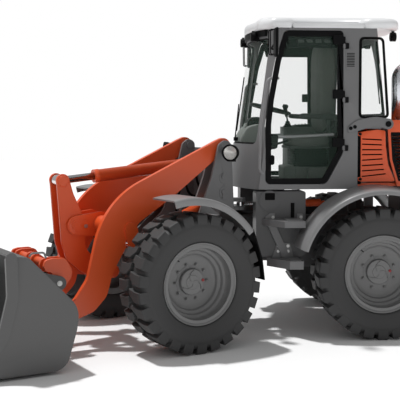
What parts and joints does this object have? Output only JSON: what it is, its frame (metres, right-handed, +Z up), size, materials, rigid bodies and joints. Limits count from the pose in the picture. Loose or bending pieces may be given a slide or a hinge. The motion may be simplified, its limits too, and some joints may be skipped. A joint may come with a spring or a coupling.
{
  "type": "wheel loader",
  "caption": "Articulated wheel loader with a closed cab, rubber tyres, lift arms with a central bell crank and a wide bucket, parked with the front body turned left.",
  "frame": {"origin": "centre of the machine's footprint box, on the ground", "axes": "+X forward along the rear body, +Y to its left, +Z up; the front body stands turned 25 degrees to the left"},
  "size_m": [6.0407, 3.3516, 2.908],
  "materials": {
    "black_plastic": "moulded",
    "cast_grey": "painted casting",
    "chrome_tube": "polished",
    "dark_paint": "satin paint",
    "grey_paint": "satin paint",
    "interior_plastic": "fine grain",
    "lamp_black": "moulded housing with a clear lens",
    "orange_paint": "semi-gloss paint",
    "rim_paint": "satin paint",
    "rod_chrome": "polished",
    "seat_fabric": "woven",
    "tinted_glass": "green tint",
    "tyre_rubber": "matte",
    "white_roof": "smooth moulded"
  },
  "bodies": {
    "rear_frame": {"rear_frame": "dark_paint", "rear_axle": "cast_grey", "engine_block": "cast_grey", "counterweight": "dark_paint", "cab_frame": "grey_paint", "cab_glass": "tinted_glass", "cab_roof": "white_roof", "cab_lamps": "lamp_black", "mirrors": "black_plastic", "seat_base": "interior_plastic", "seat_cushions": "seat_fabric", "steering_column": "interior_plastic", "steering_wheel": "black_plastic", "operator_console": "interior_plastic", "side_panels": "orange_paint", "exhaust_pipe": "chrome_tube", "fuel_tanks": "dark_paint", "steps": "dark_paint", "rear_fenders": "grey_paint", "hood_arms": "grey_paint"},
    "front_frame": {"front_frame": "grey_paint", "front_axle": "cast_grey", "front_fenders": "grey_paint", "headlamps": "lamp_black"},
    "lift_arms": {"lift_arms": "orange_paint"},
    "bell_crank": {"bell_crank": "orange_paint"},
    "tilt_link": {"tilt_link": "orange_paint"},
    "bucket": {"quick_coupler": "orange_paint", "bucket": "grey_paint"},
    "tilt_barrel": {"tilt_barrel": "orange_paint"},
    "tilt_rod": {"tilt_rod": "rod_chrome"},
    "steer_barrel": {"steer_barrel": "orange_paint"},
    "steer_rod": {"steer_rod": "rod_chrome"},
    "hood": {"hood": "orange_paint", "hood_grille": "black_plastic"},
    "lift_barrel_left": {"lift_barrel_left": "orange_paint"},
    "lift_rod_left": {"lift_rod_left": "rod_chrome"},
    "left_door": {"left_door": "black_plastic", "left_door_glass": "tinted_glass"},
    "wheel_front_left": {"tyre_front_left": "tyre_rubber", "rim_front_left": "rim_paint"},
    "wheel_rear_left": {"tyre_rear_left": "tyre_rubber", "rim_rear_left": "rim_paint"},
    "lift_barrel_right": {"lift_barrel_right": "orange_paint"},
    "lift_rod_right": {"lift_rod_right": "rod_chrome"},
    "right_door": {"right_door": "black_plastic", "right_door_glass": "tinted_glass"},
    "wheel_front_right": {"tyre_front_right": "tyre_rubber", "rim_front_right": "rim_paint"},
    "wheel_rear_right": {"tyre_rear_right": "tyre_rubber", "rim_rear_right": "rim_paint"}
  },
  "joints": [
    {"name": "steer", "type": "hinge", "parent": "rear_frame", "child": "front_frame", "pos_m": [-0.3054, -0.61977, 1.06], "axis": [0, 0, 1], "range_deg": [-65, 15]},
    {"name": "steer_cylinder_base", "type": "hinge", "parent": "rear_frame", "child": "steer_barrel", "pos_m": [-1.0454, -0.30778, 1.176], "axis": [0, 0, 1], "range_deg": [-16.67, 3.85]},
    {"name": "steer_cylinder_rod", "type": "slide", "parent": "steer_barrel", "child": "steer_rod", "axis": [0.9971, 0.0767, 0], "range_m": [-0.07084, 0.30691]},
    {"name": "lift", "type": "hinge", "parent": "front_frame", "child": "lift_arms", "pos_m": [0.13869, -0.41269, 1.72], "axis": [0.4226, -0.9063, 0], "range_deg": [-3, 85]},
    {"name": "bucket_tilt", "type": "hinge", "parent": "lift_arms", "child": "bucket", "pos_m": [1.6341, 0.28463, 0.3], "axis": [-0.4226, 0.9063, 0], "range_deg": [-42, 120]},
    {"name": "bell_crank_pivot", "type": "hinge", "parent": "lift_arms", "child": "bell_crank", "pos_m": [1.35858, 0.15615, 1.04], "axis": [0.4226, -0.9063, 0], "range_deg": [-18.08, 51.65]},
    {"name": "tilt_link_pivot", "type": "hinge", "parent": "bucket", "child": "tilt_link", "pos_m": [1.60691, 0.27195, 0.695], "axis": [0.4226, -0.9063, 0], "range_deg": [-27.54, 78.67]},
    {"name": "tilt_cylinder_base", "type": "hinge", "parent": "front_frame", "child": "tilt_barrel", "pos_m": [0.29276, -0.34085, 1.548], "axis": [0.4226, -0.9063, 0], "range_deg": [-2.93, 82.76]},
    {"name": "tilt_cylinder_rod", "type": "slide", "parent": "tilt_barrel", "child": "tilt_rod", "axis": [0.9026, 0.4209, -0.0905], "range_m": [-0.17745, 0.06212]},
    {"name": "lift_cylinder_base_left", "type": "hinge", "parent": "front_frame", "child": "lift_barrel_left", "pos_m": [0.00195, -0.09579, 1.27], "axis": [0.4226, -0.9063, 0], "range_deg": [-2.77, 78.17]},
    {"name": "lift_cylinder_rod_left", "type": "slide", "parent": "lift_barrel_left", "child": "lift_rod_left", "axis": [0.833, 0.3884, -0.3939], "range_m": [-0.02083, 0.5896]},
    {"name": "left_door_hinge", "type": "hinge", "parent": "rear_frame", "child": "left_door", "pos_m": [-1.1114, 0.08622, 2.2], "axis": [0, 0, 1], "range_deg": [0, 90]},
    {"name": "lift_cylinder_base_right", "type": "hinge", "parent": "front_frame", "child": "lift_barrel_right", "pos_m": [0.29355, -0.72114, 1.27], "axis": [0.4226, -0.9063, 0], "range_deg": [-2.77, 78.17]},
    {"name": "lift_cylinder_rod_right", "type": "slide", "parent": "lift_barrel_right", "child": "lift_rod_right", "axis": [0.833, 0.3884, -0.3939], "range_m": [-0.02083, 0.5896]},
    {"name": "right_door_hinge", "type": "hinge", "parent": "rear_frame", "child": "right_door", "pos_m": [-1.1114, -1.32577, 2.2], "axis": [0, 0, -1], "range_deg": [0, 90]},
    {"name": "hood_hinge", "type": "hinge", "parent": "rear_frame", "child": "hood", "pos_m": [-1.5324, -0.61977, 1.928], "axis": [0, 1, 0], "range_deg": [0, 45]},
    {"name": "wheel_front_left_spin", "type": "hinge", "parent": "front_frame", "child": "wheel_front_left", "pos_m": [0.33201, 0.62084, 0.589], "axis": [-0.4226, 0.9063, 0], "continuous": true},
    {"name": "wheel_front_right_spin", "type": "hinge", "parent": "front_frame", "child": "wheel_front_right", "pos_m": [1.05469, -0.92894, 0.589], "axis": [-0.4226, 0.9063, 0], "continuous": true},
    {"name": "wheel_rear_left_spin", "type": "hinge", "parent": "rear_frame", "child": "wheel_rear_left", "pos_m": [-1.4074, 0.23522, 0.589], "axis": [0, 1, 0], "continuous": true},
    {"name": "wheel_rear_right_spin", "type": "hinge", "parent": "rear_frame", "child": "wheel_rear_right", "pos_m": [-1.4074, -1.47477, 0.589], "axis": [0, 1, 0], "continuous": true}
  ],
  "couplings": [
    {"joint": "steer_cylinder_base", "follows": "steer", "ratio": 0.25632},
    {"joint": "steer_cylinder_rod", "follows": "steer", "m_per_rad": -0.27051},
    {"joint": "bell_crank_pivot", "follows": "bucket_tilt", "ratio": 0.43031},
    {"joint": "tilt_link_pivot", "follows": "bucket_tilt", "ratio": 0.65546},
    {"joint": "tilt_cylinder_rod", "follows": "bucket_tilt", "m_per_rad": -0.084715},
    {"joint": "tilt_cylinder_base", "follows": "lift", "ratio": 0.97358},
    {"joint": "lift_cylinder_base_left", "follows": "lift", "ratio": 0.91949},
    {"joint": "lift_cylinder_rod_left", "follows": "lift", "m_per_rad": 0.39741},
    {"joint": "lift_cylinder_base_right", "follows": "lift", "ratio": 0.91949},
    {"joint": "lift_cylinder_rod_right", "follows": "lift", "m_per_rad": 0.39741}
  ]
}
